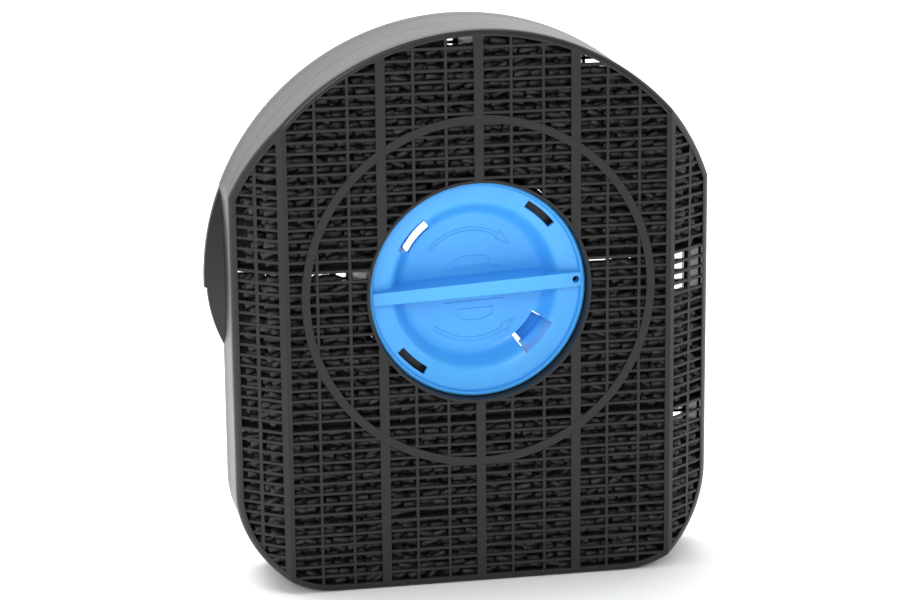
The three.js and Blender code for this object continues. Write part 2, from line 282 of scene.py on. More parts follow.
BLUE = blue_plastic()
print("one blue finish")

# %% [markdown]
# ## Charcoal
#
# Pellets are pressed through a die, so each has fine streaks and a dull, slightly brown black. Every
# pellet gets its own shade, kept in an attribute on its faces, because neighbours in a real bed never
# match.

# %% Charcoal
def charcoal():
    made, shader, at = new_material("charcoal", IOR=1.5)
    own = at.node("ShaderNodeAttribute", output=2, attribute_name="pellet_shade", attribute_type="GEOMETRY")
    grain = at.noise(900, 6, 0.7)
    crumbs = at.noise(3200, 3)
    shade = (own * 0.75 + grain * 0.5 - 0.15).clamped()
    stops = [(0.0, (0.002, 0.002, 0.002)), (1.0, (0.042, 0.034, 0.030)), (0.55, (0.010, 0.009, 0.008))]
    colour = at.node("ShaderNodeValToRGB", {0: shade}, stops=stops)
    roughness = grain * 0.35 - own * 0.12 + 0.42
    feed(shader, Base_Color=colour, Roughness=roughness, Normal=bumped(grain + crumbs * 0.4, 0.55, 0.0004))
    return made


CHARCOAL = charcoal()
print("one charcoal")

# %% [markdown]
# ## Finishing a piece
#
# Every piece ends the same way: vertices that fell together are merged, faces are turned outwards, edges
# sharper than a set angle are marked so that the rest shade smoothly, and the mesh is placed. A Bevel
# modifier rounds the sharp edges, because no moulded edge is truly sharp and the rounding is what catches
# the light. A second short function adds one drawing to another, for pieces that are drawn in parts.

# %% Finishing
def finished(name, bm, material, body, replaced, soften=0.0, segments=2, sharp=32):
    bmesh.ops.remove_doubles(bm, verts=bm.verts, dist=1e-4)
    bmesh.ops.recalc_face_normals(bm, faces=bm.faces)
    for face in bm.faces:
        face.smooth = True
    for edge in bm.edges:
        edge.smooth = len(edge.link_faces) == 2 and edge.calc_face_angle(pi) < radians(sharp)
    bm.transform(PLACE)
    mesh = bpy.data.meshes.new(name)
    bm.to_mesh(mesh)
    bm.free()
    mesh.materials.append(material)
    made = bpy.data.objects.new(name, mesh)
    bpy.context.scene.collection.objects.link(made)
    if soften:
        round_off = made.modifiers.new("rounded edges", "BEVEL")
        round_off.width = soften / 1000
        round_off.segments = segments
        round_off.limit_method = "ANGLE"
        round_off.angle_limit = radians(sharp + 12)
    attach(made, body)
    if replaced:
        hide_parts(*replaced)
    print(name, "has", len(mesh.polygons), "faces")


def added(bm, extra):
    """Adds a second drawing to a first one, and frees the second."""
    mesh = bpy.data.meshes.new("extra")
    extra.to_mesh(mesh)
    extra.free()
    bm.from_mesh(mesh)
    bpy.data.meshes.remove(mesh)


# %% [markdown]
# ## Blocks and spun shapes
#
# Nearly everything here is either a straight strip or something turned about the knob's axis. A strip is
# the unit cube, stretched and moved. A turned shape is a half section, drawn as radius and depth, spun
# all the way round, or spun part of the way as a closed wedge.

# %% Blocks and spun shapes
BACKWARDS = Vector((0, -1, 0))


def block(bm, across, depth, up):
    spans = (across, depth, up)
    middle = Matrix.Translation([(a + b) / 2 for a, b in spans])
    size = Matrix.Diagonal([b - a for a, b in spans] + [1])
    return bmesh.ops.create_cube(bm, size=1, matrix=middle @ size)["verts"]


def turned(bm, section, steps=180, closed=True):
    """A section of (radius, depth) corners, spun all the way round the knob's axis."""
    verts = [bm.verts.new((r, d, 0)) for r, d in section]
    pairs = list(zip(verts, verts[1:])) + ([(verts[-1], verts[0])] if closed else [])
    edges = [bm.edges.new(pair) for pair in pairs]
    bmesh.ops.spin(
        bm, geom=verts + edges, cent=(0, 0, 0), axis=BACKWARDS, angle=2 * pi, steps=steps, use_merge=True
    )


def wedge(bm, section, at, span, steps=12):
    """A closed section spun through part of a turn, centred on an angle, anticlockwise from the right."""
    start = Matrix.Rotation(radians(at - span / 2), 4, BACKWARDS)
    verts = [bm.verts.new(start @ Vector((r, d, 0))) for r, d in section]
    face = bm.faces.new(verts)
    geom = [face, *face.edges, *face.verts]
    bmesh.ops.spin(bm, geom=geom, cent=(0, 0, 0), axis=BACKWARDS, angle=radians(span), steps=steps)


def ring_section(r0, r1, d0, d1):
    return [(r0, d0), (r1, d0), (r1, d1), (r0, d1)]


def trimmed(bm, verts, point, outwards):
    """Cuts a block off along a plane, and closes it."""
    faces = {face for vert in verts for face in vert.link_faces}
    edges = {edge for vert in verts for edge in vert.link_edges}
    geom = [*verts, *edges, *faces]
    cut = bmesh.ops.bisect_plane(
        bm, geom=geom, plane_co=point, plane_no=outwards, clear_outer=True, dist=1e-5
    )
    rim = [item for item in cut["geom_cut"] if isinstance(item, bmesh.types.BMEdge)]
    bmesh.ops.contextual_create(bm, geom=rim)
    kept = {vert for item in rim for vert in item.verts}
    return [vert for vert in verts if vert.is_valid] + list(kept)


# %% [markdown]
# ## The outline of the case
#
# Seen from the front the case has a round top, straight sides, round lower corners and a flat bottom.
# Each arc is one vertex spun about the arc's centre, and three straight edges join them into a loop. A
# wall is that loop extruded from corner to corner of the wall's section: each time it moves back in
# depth, or is drawn in along its arcs by a millimetre or two.

# %% Outline loops and the walls between them
TOP_R = 109.4
HALF_W = 101.3
BOTTOM = 125.4
CORNER_R = 40
TOP_STEPS = 120
CORNER_STEPS = 24


def outline(bm, inset, depth):
    r, w, b, c = (size - inset for size in (TOP_R, HALF_W, BOTTOM, CORNER_R))
    meet = acos(w / r)
    arcs = [
        ((0, 0), r, meet, pi - 2 * meet, TOP_STEPS),
        ((c - w, c - b), c, pi, pi / 2, CORNER_STEPS),
        ((w - c, c - b), c, 1.5 * pi, pi / 2, CORNER_STEPS),
    ]
    ends, before = [], set(bm.edges)
    for (x, z), radius, start, sweep, steps in arcs:
        centre = Vector((x, depth, z))
        first = bm.verts.new(centre + Vector((radius * cos(start), 0, radius * sin(start))))
        spun = bmesh.ops.spin(bm, geom=[first], cent=centre, axis=BACKWARDS, angle=sweep, steps=steps)
        ends.append((first, spun["geom_last"][0]))
    for (_, last), (first, _) in zip(ends, ends[1:] + ends[:1]):
        bm.edges.new((last, first))
    return [edge for edge in bm.edges if edge not in before]


def drawn_in(point, inset, further):
    """A point of the outline at one inset, moved to its place on the outline at another."""
    if point.z > 0:
        old, new = (acos((HALF_W - i) / (TOP_R - i)) for i in (inset, further))
        share = (atan2(point.z, point.x) - old) / (pi - 2 * old)
        angle = new + share * (pi - 2 * new)
        return Vector(((TOP_R - further) * cos(angle), point.y, (TOP_R - further) * sin(angle)))
    side = 1 if point.x > 0 else -1
    centre = Vector((side * (HALF_W - CORNER_R), point.y, CORNER_R - BOTTOM))
    return centre + (point - centre) * (CORNER_R - further) / (CORNER_R - inset)


def walls(bm, section):
    """A closed wall round the case, from its section of (inset, depth) corners."""
    loop = outline(bm, *section[0])
    for (inset, _), (further, depth) in zip(section, section[1:] + section[:1]):
        made = bmesh.ops.extrude_edge_only(bm, edges=loop)["geom"]
        verts = {item for item in made if isinstance(item, bmesh.types.BMVert)}
        for vert in verts:
            vert.co = drawn_in(vert.co, inset, further)
            vert.co.y = depth
        edges = [item for item in made if isinstance(item, bmesh.types.BMEdge)]
        loop = [edge for edge in edges if set(edge.verts) <= verts]


# %% Where the outline ends a strip
def half_width(z, inset):
    r, w, b, c = (size - inset for size in (TOP_R, HALF_W, BOTTOM, CORNER_R))
    if z > 0:
        return min(w, sqrt(max(r * r - z * z, 0)))
    below = max(c - b - z, 0)
    return w - c + sqrt(max(c * c - below * below, 0))


def outline_top(x, inset):
    r = TOP_R - inset
    point = Vector((x, 0, sqrt(r * r - x * x)))
    return point, point.normalized()


def outline_bottom(x, inset):
    w, b, c = (size - inset for size in (HALF_W, BOTTOM, CORNER_R))
    past = abs(x) - (w - c)
    if past <= 0:
        return Vector((x, 0, -b)), Vector((0, 0, -1))
    centre = Vector(((w - c) * (1 if x > 0 else -1), 0, c - b))
    point = Vector((x, 0, c - b - sqrt(c * c - past * past)))
    return point, (point - centre).normalized()


# %% [markdown]
# ## The folded front
#
# The front isn't flat: outside the outermost wide bars its two side strips lean back by about 38 degrees.
# It is drawn flat first. Then every face is cut along the two folds, and all that lies outside them is
# sheared back in proportion to its distance from the fold.

# %% Folding
FOLD_X = 81
SET_BACK = 16  # depth of the front's left and right edges
LEAN = SET_BACK / (HALF_W - FOLD_X)


def folded(bm, deepest):
    """Folds the side strips back. Only what is in front of the deepest drawn depth moves."""
    for side in (-1, 1):
        geom = [*bm.verts, *bm.edges, *bm.faces]
        fold = (side * FOLD_X, 0, 0)
        bmesh.ops.bisect_plane(bm, geom=geom, plane_co=fold, plane_no=(side, 0, 0), dist=1e-5)
    for vert in bm.verts:
        if vert.co.y < deepest:
            vert.co.y += LEAN * max(0, abs(vert.co.x) - FOLD_X)


# %% [markdown]
# ## Lattice
#
# Fifty thin ribs run across, five wide bars and ten thin uprights run up and down, and a round rib
# circles the well. Each is a strip of its own, a tenth of a millimetre or more in front of or behind the
# next, as it is on a real moulding. Both lattices are the same grid, so one function draws them and takes
# the depth.

# %% Lattice strips
RIB_PITCH = 4.5
RIB_W = 1.2
RIM = 2.9
FIRST_RIB = -BOTTOM + RIM + RIB_PITCH - RIB_W / 2
RIB_COUNT = 50
RIBS = [FIRST_RIB + RIB_PITCH * row for row in range(RIB_COUNT)]
BARS = [-81, -40.5, 0, 40.5, 81]
THIN = [-91.3, -67.5, -54, -27, -13.5, 13.5, 27, 54, 67.5, 91.3]
BAR_W = 4.1
THIN_W = 1.3
BEZEL_IN = 46.6  # strips end inside the bezel, which hides their ends
print(len(RIBS), "ribs,", len(BARS), "wide bars and", len(THIN), "thin uprights")


def rib(bm, z, width, depth, inset, hole):
    """A strip across at a height, split where it would cross the round hole."""
    end = half_width(z, inset)
    up = (z - width / 2, z + width / 2)
    if abs(z) < hole - width / 2:
        inner = sqrt(hole * hole - z * z)
        block(bm, (-end, -inner), depth, up)
        block(bm, (inner, end), depth, up)
    else:
        block(bm, (-end, end), depth, up)


def upright(bm, x, width, depth, inset, hole):
    """A strip up and down, cut off along the outline, and split where it would cross the hole."""
    across = (x - width / 2, x + width / 2)
    runs = [(-BOTTOM, TOP_R)]
    if abs(x) < hole - width / 2:
        runs = [(-BOTTOM, 0), (0, TOP_R)]
    for low, high in runs:
        verts = block(bm, across, depth, (low, high))
        if high:
            verts = trimmed(bm, verts, *outline_top(x, inset))
        if low:
            verts = trimmed(bm, verts, *outline_bottom(x, inset))
        if len(runs) == 2:
            end = Vector((x, 0, sqrt(hole * hole - x * x) * (-1 if low else 1)))
            trimmed(bm, verts, end, -end.normalized())


def lattice(bm, front, thickness, inset, hole, proud=1):
    """Ribs, bars and thin uprights, facing at a depth. Proud is 1 where that face is the front one."""
    back = front + thickness

    def layer(step):
        return (front + step, back) if proud > 0 else (front, back - step)

    for z in RIBS:
        rib(bm, z, RIB_W, layer(0.45), inset, hole)
    for x in THIN:
        upright(bm, x, THIN_W, layer(0.5), inset, hole)
    for x in BARS:
        upright(bm, x, BAR_W, layer(0.12), inset, hole)


# %% [markdown]
# ## Front cover
#
# The cover is two finishes of one moulding: the lattice with its ring and bezel is satin, and the rim,
# lip and skirt round it are glossier, so they are two pieces here. The rim's outer edge is rounded in its
# section. The lip is a band round the front that stands a little proud of the skirt behind it.

# %% Front lattice
LATTICE_T = 2.2
SEAM = 24
GAP = 0.3
LIP = 5.8
LIP_PROUD = 0.4
SKIN = 1.2
INSIDE = LIP_PROUD + SKIN
RING = (70.65, 74.15)
WELL_R = 46
WELL_OUT = 47.2
BEZEL_DEPTH = 6

bm = bmesh.new()
lattice(bm, 0, LATTICE_T, RIM / 2, BEZEL_IN)
turned(bm, ring_section(*RING, 0, LATTICE_T + 0.2))
turned(bm, ring_section(WELL_R, WELL_OUT, 0, BEZEL_DEPTH))
folded(bm, SEAM)
finished("front_lattice", bm, SATIN_BLACK, "case", (), soften=0.14, segments=1)

# %% Rim, lip and skirt
bm = bmesh.new()
walls(
    bm,
    [
        (1.7, 0.12), (1.0, 0.3), (0.45, 0.65), (0.15, 1.15), (0.03, 1.8), (0, 2.6), (0, LIP),
        (LIP_PROUD, LIP + 0.35), (LIP_PROUD, SEAM), (INSIDE, SEAM), (INSIDE, LATTICE_T), (RIM, LATTICE_T),
        (RIM, 0.25), (2.5, 0.05),
    ],
)
folded(bm, LIP + 1)
finished("front_rim", bm, GLOSS_BLACK, "case", ["front_cover"], soften=0.12)

# %% [markdown]
# ## Rear shell
#
# The back half is the same wall again, with a lip round its back edge. At the level of the knob a round
# flange spreads from each side, which is how the cassette is located in the hood. Each half of a flange
# is a turned wedge, cut off flat inside the wall and at the step between the halves. The lower half is a
# millimetre narrower and turned about a centre of its own, nearer to the side, so it is rounder.

# %% Rear shell and flange
BACK_RIM = 3.6
FLANGE_R = 109.1
FLANGE_STEP = 1.1  # the lower half is this much narrower
FLANGE_STEP_AT = -2.6  # height of the step between the flange's halves
FLANGE_LOW_R = 62
FLANGE_RISE = 8
FLANGE_EDGE = 1.5
TONGUE_T = 1
TONGUE_L = 3
LIP_IN = INSIDE + 0.8  # the lip that holds the rear lattice
LIP_T = 1
TOUCHING = 0.1  # left between faces that would otherwise coincide

bm = bmesh.new()
walls(
    bm,
    [
        (LIP_PROUD, SEAM + GAP), (LIP_PROUD, DEPTH - 9), (0.25, DEPTH - 6), (0, DEPTH - BACK_RIM),
        (0, DEPTH), (LIP_IN, DEPTH), (LIP_IN, DEPTH - LIP_T), (INSIDE, DEPTH - LIP_T),
        (INSIDE, SEAM + GAP),
    ],
)
tongue_out = INSIDE + TOUCHING
tongue_in = tongue_out + TONGUE_T
front_end, back_end = SEAM - TONGUE_L, SEAM + TONGUE_L
walls(bm, [(tongue_out, front_end), (tongue_in, front_end), (tongue_in, back_end), (tongue_out, back_end)])


def flange(radius, centre, side, level, step):
    """A turned wedge of the flange about its own centre, cut flat inside the side wall and at the step."""
    root, start, rim, end = HALF_W - 6, DEPTH - FLANGE_RISE, DEPTH - BACK_RIM, DEPTH - TOUCHING / 2
    corners = [
        (root, start + 1), (HALF_W - 0.6, start), (radius - FLANGE_EDGE, rim), (radius - 0.3, rim + 0.7),
        (radius, rim + FLANGE_EDGE), (radius, end), (root, end),
    ]
    part = bmesh.new()
    wedge(part, [(r - centre, d) for r, d in corners], 0 if side > 0 else 180, 100, steps=90)
    bmesh.ops.translate(part, verts=part.verts, vec=(side * centre, 0, 0))
    kept = trimmed(part, list(part.verts), (side * (HALF_W - 0.9), 0, 0), (-side, 0, 0))
    trimmed(part, kept, (0, 0, step), (0, 0, -level))
    added(bm, part)


low_r = FLANGE_R - FLANGE_STEP
for side in (1, -1):
    flange(FLANGE_R, 0, side, 1, FLANGE_STEP_AT)
    flange(low_r, low_r - FLANGE_LOW_R, side, -1, FLANGE_STEP_AT + 0.01)
finished("shell_and_flange", bm, GLOSS_BLACK, "case", ["rear_shell"], soften=0.4)

# %% Rear grille
bm = bmesh.new()
REAR_START = 43.4
REAR_END = DEPTH - 2
REAR_RIM = 1
lattice(bm, REAR_START, LATTICE_T, INSIDE + 0.5, WELL_OUT + 0.9, proud=-1)
rim_out = INSIDE + TOUCHING
rim_in = rim_out + REAR_RIM
walls(bm, [(rim_out, REAR_START), (rim_in, REAR_START), (rim_in, REAR_END), (rim_out, REAR_END)])
turned(bm, ring_section(*RING, REAR_START, REAR_END + TOUCHING))
turned(bm, ring_section(WELL_OUT + GAP, WELL_OUT + 1.8, REAR_START, REAR_END + TOUCHING))
finished("rear_lattice", bm, DARK_BLACK, "case", ["rear_grille"])

# %% [markdown]
# ## Well and inner frame
#
# The well is one turned tube with a ledge that the knob turns on. Shelves and upright walls part the
# charcoal into compartments, so that it can't all settle at the bottom. They are plain thin plates, seen
# only as dark edges between the ribs, and end clear of the well.

# %% Well, with its ledge and stops
LEDGE_DEPTH = 14.5
LEDGE_T = 1.5
LEDGE_R = 38.5
HOOK_AT = 139
HOOK_SPAN = 20
HOOK_T = 2
TURN = 90
STOP_SPAN = 8
STOP_OFF = 15  # from the middle of a hook to the middle of its stop

bm = bmesh.new()
ledge_end = LEDGE_DEPTH + LEDGE_T
well_start = BEZEL_DEPTH + TOUCHING / 2
turned(
    bm,
    [
        (WELL_R, well_start), (WELL_OUT, well_start), (WELL_OUT, DEPTH), (WELL_R, DEPTH),
        (WELL_R, ledge_end), (LEDGE_R, ledge_end), (LEDGE_R, LEDGE_DEPTH), (WELL_R, LEDGE_DEPTH),
    ],
)
stop = ring_section(LEDGE_R, WELL_R + 0.5, ledge_end - TOUCHING, ledge_end + GAP + HOOK_T)
for hook in (HOOK_AT, HOOK_AT + 180):
    for at in (hook + STOP_OFF, hook - TURN - STOP_OFF):
        wedge(bm, stop, at, STOP_SPAN)
finished("well_and_ledge", bm, GLOSS_BLACK, "case", ["knob_well"], soften=0.25)

# %% Shelves and upright walls
WALL_T = 1.2
SHELVES = [RIBS[14], RIBS[29]]
between = (LATTICE_T + GAP, REAR_START - 0.2)
bm = bmesh.new()
for x in BARS:
    upright(bm, x, WALL_T, between, INSIDE + GAP, WELL_OUT + GAP)
for z in SHELVES:
    rib(bm, z, WALL_T, between, INSIDE + GAP, WELL_OUT + GAP)
folded(bm, between[0] + 0.5)
finished("shelves_and_walls", bm, DARK_BLACK, "case", ["inner_frame"])

# %% [markdown]
# ## Knob
#
# The knob is one thin moulding: a raised rim, a band that falls gently to the dish, a rounded shoulder, a
# steep wall and a flat floor. A thin moulding is best drawn as its front surface alone. It is spun from a
# section, the slots are cut by deleting faces between two angles and two radii, and Solidify gives it its
# thickness, which makes the walls of every slot on the way.

# %% The knob's front surface and its slots
KNOB_R = 45.5
KNOB_DEPTH = 5.5
FLOOR_DEPTH = 20
SIGHT_AT = 48
SIGHT_SPAN = 19
HOOK_SLOT_SPAN = 24.5
HOOK_SLOT_OUT = 36.6
HANDLE_TILT = 2.8
KNOB_STEPS = 180
PLATE_T = 1.8

knob_section = [
    (KNOB_R - 0.1, LEDGE_DEPTH - 0.4), (KNOB_R, 13), (KNOB_R, 6.1), (45.3, 5.7), (44.95, KNOB_DEPTH),
    (44.45, KNOB_DEPTH), (44.15, 5.75), (44.0, 6.2), (43.9, 8.0), (43.55, 8.55), (42.2, 8.75), (40.3, 9.2),
    (38.9, 9.5), (37.6, 9.75), (HOOK_SLOT_OUT, 10.05), (35.8, 10.4), (35.1, 10.9), (34.5, 11.6),
    (33.9, 12.6), (33.3, 13.8), (32.6, 15.3), (31.9, 16.8), (31.2, 18.0), (30.4, 18.9), (29.5, 19.5),
    (28.5, 19.85), (27.3, FLOOR_DEPTH), (14, FLOOR_DEPTH), (0, FLOOR_DEPTH),
]


def cut_slot(bm, at, span, r0, r1):
    """Deletes the faces between two radii and two angles."""
    doomed = []
    for face in bm.faces:
        middle = face.calc_center_median()
        turn = (degrees(atan2(middle.z, middle.x)) - at + 180) % 360 - 180
        if abs(turn) < span / 2 and r0 < hypot(middle.x, middle.z) < r1:
            doomed.append(face)
    bmesh.ops.delete(bm, geom=doomed, context="FACES")


def solid_sheet(name, bm, thickness):
    """A sheet given its thickness behind it, as a mesh in a bmesh again."""
    bmesh.ops.remove_doubles(bm, verts=bm.verts, dist=1e-3)
    bmesh.ops.recalc_face_normals(bm, faces=bm.faces)
    outwards = sum(face.normal.y * face.calc_area() for face in bm.faces)
    if outwards > 0:
        bmesh.ops.reverse_faces(bm, faces=bm.faces)
    mesh = bpy.data.meshes.new(name)
    bm.to_mesh(mesh)
    bm.free()
    sheet = bpy.data.objects.new(name, mesh)
    bpy.context.scene.collection.objects.link(sheet)
    thick = sheet.modifiers.new("thickness", "SOLIDIFY")
    thick.thickness = thickness
    thick.offset = -1
    thick.use_even_offset = True
    made = bmesh.new()
    made.from_object(sheet, bpy.context.evaluated_depsgraph_get())
    bpy.data.objects.remove(sheet)
    bpy.data.meshes.remove(mesh)
    return made


dish = bmesh.new()
turned(dish, knob_section, steps=KNOB_STEPS, closed=False)
for at in (SIGHT_AT, SIGHT_AT + 180):
    cut_slot(dish, at, SIGHT_SPAN, 38.9, 42.2)
for at in (HOOK_AT, HOOK_AT + 180):
    cut_slot(dish, at, HOOK_SLOT_SPAN, 29.3, HOOK_SLOT_OUT)
cut_slot(dish, HANDLE_TILT, 4.1, 40.3, 43.55)
knob = solid_sheet("dish", dish, PLATE_T)
print("the knob's dish has", len(knob.faces), "faces")

# %% [markdown]
# ## Behind the knob's dish
#
# Behind the dish a tube goes over the hood's spigot, with two lugs that lock on it. At each hook slot an
# arm runs back from the slot's outer edge and is tied to the tube, and a hook on the arm reaches outwards
# behind the ledge, so the knob can turn but can't fall out. The tube is open beside the slots, so light
# shows through them.

# %% Socket, hooks and lugs
SOCKET_R = 30.7
SOCKET_OUT = 32.5
SOCKET_END = 40
WHOLE_FROM = 28.8  # the tube is a whole ring behind this depth
ARM_OUT = 38.1
LUG_R = 28.2
LUG_L = 3
hook_start = ledge_end + GAP

behind = bmesh.new()
turned(behind, ring_section(SOCKET_R, SOCKET_OUT, WHOLE_FROM, SOCKET_END), steps=KNOB_STEPS)
for at in (HOOK_AT + 90, HOOK_AT + 270):
    wedge(behind, ring_section(SOCKET_R, SOCKET_OUT, 19.2, WHOLE_FROM + 0.2), at, 154, steps=60)
for at in (HOOK_AT, HOOK_AT + 180):
    wedge(behind, ring_section(HOOK_SLOT_OUT, ARM_OUT, 10.6, WHOLE_FROM + 0.2), at, HOOK_SLOT_SPAN)
    wedge(behind, ring_section(37, LEDGE_R + 2, hook_start, hook_start + HOOK_T), at, HOOK_SPAN)
    wedge(behind, ring_section(32, ARM_OUT, WHOLE_FROM, WHOLE_FROM + 1.7), at, HOOK_SPAN)
    wedge(behind, ring_section(LUG_R, 31, SOCKET_END - LUG_L, SOCKET_END - 0.05), at, 24)
bmesh.ops.recalc_face_normals(behind, faces=behind.faces)
print("the socket, hooks and lugs have", len(behind.faces), "faces")
added(knob, behind)

# %% [markdown]
# ## Handle
#
# A straight strip crosses the knob flush with its rim, for a thumb and finger to turn. It is slightly
# wider at its right end, where a small hole marks which way it points. The strip is drawn from the side,
# pushed to its width and narrowed towards the left, and the hole is cut with a Boolean before it is
# turned to its tilt.

# %% Handle with its index hole
REACH = 44.1
HOLE_AT = 41.8
HOLE_R = 1.45
half_view = [(REACH, KNOB_DEPTH), (REACH, 9.4), (34.5, 11.6), (31.5, 17), (30, FLOOR_DEPTH + 0.6)]
side_view = half_view + [(-x, d) for x, d in reversed(half_view)]
handle = bmesh.new()
near = handle.faces.new([handle.verts.new((x, d, -1)) for x, d in side_view])
pushed = bmesh.ops.extrude_face_region(handle, geom=[near])["geom"]
for vert in (item for item in pushed if isinstance(item, bmesh.types.BMVert)):
    vert.co.z = 1
for vert in handle.verts:
    vert.co.z *= 2.85 + 0.25 * vert.co.x / 44 + 0.012 * (vert.co.y - KNOB_DEPTH)
bmesh.ops.recalc_face_normals(handle, faces=handle.faces)

drill = bmesh.new()
standing = Matrix.Translation((HOLE_AT, 8, 0)) @ Matrix.Rotation(pi / 2, 4, "X")
bmesh.ops.create_cone(
    drill, cap_ends=True, segments=32, radius1=HOLE_R, radius2=HOLE_R, depth=12, matrix=standing
)


def bored(bm, tool):
    """The first mesh with the second cut away from it."""
    objects = []
    for shape in (bm, tool):
        mesh = bpy.data.meshes.new("shape")
        shape.to_mesh(mesh)
        shape.free()
        objects.append(bpy.data.objects.new("shape", mesh))
        bpy.context.scene.collection.objects.link(objects[-1])
    cut = objects[0].modifiers.new("hole", "BOOLEAN")
    cut.operation, cut.object, cut.solver = "DIFFERENCE", objects[1], "EXACT"
    made = bmesh.new()
    made.from_object(objects[0], bpy.context.evaluated_depsgraph_get())
    for shape in objects:
        bpy.data.meshes.remove(shape.data)
    return made


handle = bored(handle, drill)
tilt = Matrix.Rotation(radians(HANDLE_TILT), 3, BACKWARDS)
bmesh.ops.rotate(handle, verts=handle.verts, cent=(0, 0, 0), matrix=tilt)
print("the handle has", len(handle.faces), "faces")
added(knob, handle)

# %% [markdown]
# ## Arrows on the floor of the dish
#
# Two plain curved arrows show which way to turn, and a small plain outline with a line beside it stands
# on each side of the handle. They are fine raised lines. An arc is a wedge of a tiny square section, and
# a straight line is a thin block turned to its direction.

# %% Raised arrows and outlines
LINE_W = 0.36
LINE_H = 0.3
BARB = 1.3  # how far an arrow's head stands out beside its shaft
line_depth = (FLOOR_DEPTH - LINE_H, FLOOR_DEPTH + 0.1)
marks = bmesh.new()


def arc_line(radius, start, end):
    section = ring_section(radius - LINE_W / 2, radius + LINE_W / 2, *line_depth)
    wedge(marks, section, (start + end) / 2, end - start, 28)


def line(x0, z0, x1, z1):
    run = Vector((x1 - x0, 0, z1 - z0))
    verts = block(marks, (-LINE_W / 2, run.length + LINE_W / 2), line_depth, (-LINE_W / 2, LINE_W / 2))
    turn = Matrix.Rotation(atan2(run.z, run.x), 4, BACKWARDS)
    bmesh.ops.transform(marks, verts=verts, matrix=Matrix.Translation((x0, 0, z0)) @ turn)


def polygon(points):
    for (x0, z0), (x1, z1) in zip(points, points[1:] + points[:1]):
        line(x0, z0, x1, z1)


def around(radius, angle):
    return radius * cos(radians(angle)), radius * sin(radians(angle))


def arrow(r0, r1, tail, neck, tip):
    """A curved arrow between two radii, from its tail's angle past its neck to its tip."""
    low, high = min(tail, neck), max(tail, neck)
    arc_line(r0, low, high)
    arc_line(r1, low, high)
    head = [(r1, neck), (r1 + BARB, neck), ((r0 + r1) / 2, tip), (r0 - BARB, neck), (r0, neck)]
    for a, b in zip(head, head[1:]):
        line(*around(*a), *around(*b))
    line(*around(r0, tail), *around(r1, tail))


arrow(21.9, 23.2, 140, 60, 44)
arrow(24.0, 25.6, 231, 304, 316)
polygon([(-7.5, 6.6), (-7.5, 9.2), (-2.4, 11.1), (5.4, 11.1), (8.2, 9.4), (8.1, 7.4)])
polygon([(-6.4, -11.9), (9.3, -11.3), (9.0, -14.1), (5.1, -16.3), (-2.6, -16.6), (-6.4, -14.1)])
line(-12.2, 5.4, 12.5, 6.6)
line(-11.5, -9.0, 13.7, -7.8)
bmesh.ops.recalc_face_normals(marks, faces=marks.faces)
print("the raised lines have", len(marks.faces), "faces")
added(knob, marks)
finished("blue_knob", knob, BLUE, "knob", ["twist_knob"], soften=0.12, sharp=38)

# %% [markdown]
# ## Pellets
#
# Loose pellets could be dropped by a rigid-body simulation, but thousands of them would take minutes, and
# only the layer behind each lattice is ever seen. So a few pellets are shaped once, by pressing a cone's
# primitive out of true, and copies are laid in rows behind the ribs, nearly level, each with a turn, a
# shift and a shade of its own. A dark lumpy core fills the middle of each compartment.

# %% Pellet shapes
rng = Random(20260)
PELLET_SIDES = 8
PELLET_R = 1.75


def pellet_shape():
    bm = bmesh.new()
    length = rng.uniform(4.2, 7.6)
    radius = rng.uniform(1.65, 1.95)
    lying = Matrix.Rotation(pi / 2, 4, "Y")
    bmesh.ops.create_cone(
        bm, cap_ends=True, segments=PELLET_SIDES, radius1=radius, radius2=radius, depth=length, matrix=lying
    )
    ends = [edge for edge in bm.edges if len({round(v.co.x, 3) for v in edge.verts}) == 1]
    bmesh.ops.bevel(
        bm, geom=ends, affect="EDGES", offset=0.4, segments=1, profile=0.5, material=-1, clamp_overlap=True
    )
    bend = rng.uniform(-0.012, 0.012)
    for vert in bm.verts:
        vert.co.z += bend * vert.co.x ** 2
        vert.co += Vector(rng.uniform(-0.14, 0.14) for _ in range(3))
        vert.co.x += 0.16 * vert.co.z * rng.choice((-1, 1)) * (abs(vert.co.x) > length / 3)
    for face in bm.faces:
        face.smooth = True
    mesh = bpy.data.meshes.new("pellet")
    bm.to_mesh(mesh)
    bm.free()
    return mesh, length


PELLETS = [pellet_shape() for _ in range(10)]
print("ten pellet shapes,", len(PELLETS[0][0].polygons), "faces each")

# %% How high the charcoal reaches
BED_FRONT = 2.6
BED_BACK = 43.0
TIER_EDGES = [-BOTTOM, *SHELVES, TOP_R]
COLUMN_EDGES = [-HALF_W, *BARS, HALF_W]
TIERS = ["bottom", "middle", "top"]
COLUMNS = ["far_left", "left", "inner_left", "inner_right", "right", "far_right"]


def front_depth(x):
    return LEAN * max(0, abs(x) - FOLD_X)


# Hollows left as the charcoal settled below a shelf: (tier, from x, to x, depth of the hollow).
HOLLOWS = [
    (2, 41, 63, 16.0), (2, -13, 6, 4.5), (1, 82, 101, 16.5), (0, 82, 101, 8.5), (1, -57.5, -47.5, 3.4),
    (1, -70.5, -69.3, 2.2), (1, -44, -43, 2.0),
]
FALL = 0.25  # the surface falls by this much for each millimetre of depth


def ceiling(tier, x, depth):
    """The charcoal's upper surface: just under the shelf at the front, and falling towards the back."""
    top = TIER_EDGES[tier + 1] - WALL_T / 2
    fall = FALL * (depth - front_depth(x))
    hollow = sum(drop for level, x0, x1, drop in HOLLOWS if level == tier and x0 < x < x1)
    return top - fall - hollow


